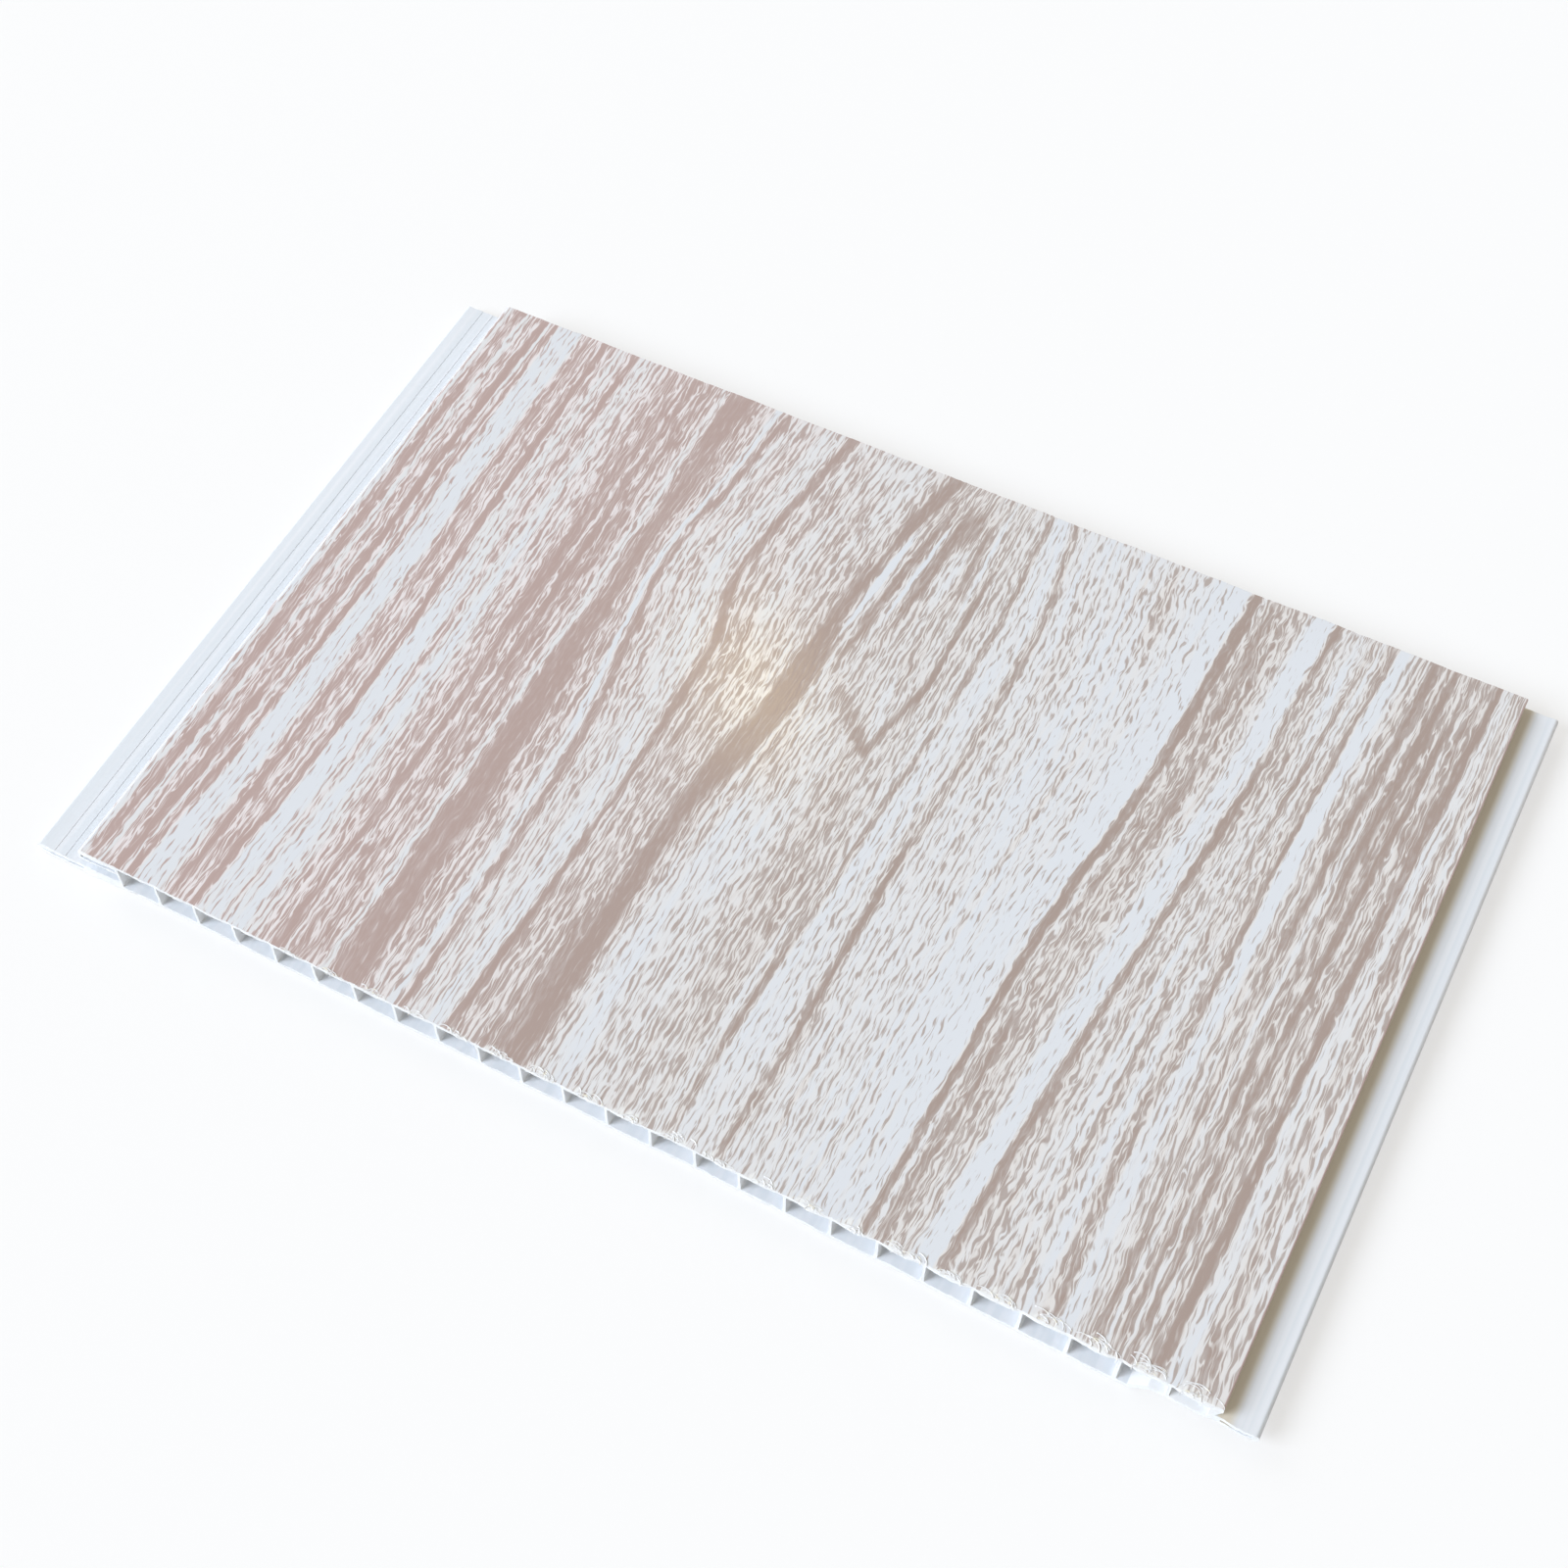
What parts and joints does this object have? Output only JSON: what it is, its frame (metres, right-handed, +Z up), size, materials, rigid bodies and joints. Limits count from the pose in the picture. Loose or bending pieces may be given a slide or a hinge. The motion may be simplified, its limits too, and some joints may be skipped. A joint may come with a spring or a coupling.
{
  "type": "pvc ceiling panel",
  "caption": "Hollow ribbed plastic ceiling panel offcut with a wood-grain printed face, a grooved fixing flange along one edge and a tongue along the other",
  "frame": {"origin": "middle of the whole piece, at the level of the back that it lies on", "axes": "X across the panel from the fixing flange to the tongue, Y along the extrusion, Z up out of the printed face"},
  "size_m": [0.2692, 0.168, 0.008],
  "materials": {
    "white_plastic": "satin white rigid plastic; the face carries a whitewashed wood-grain print"
  },
  "bodies": {
    "root": {"panel": "white_plastic"}
  },
  "joints": []
}
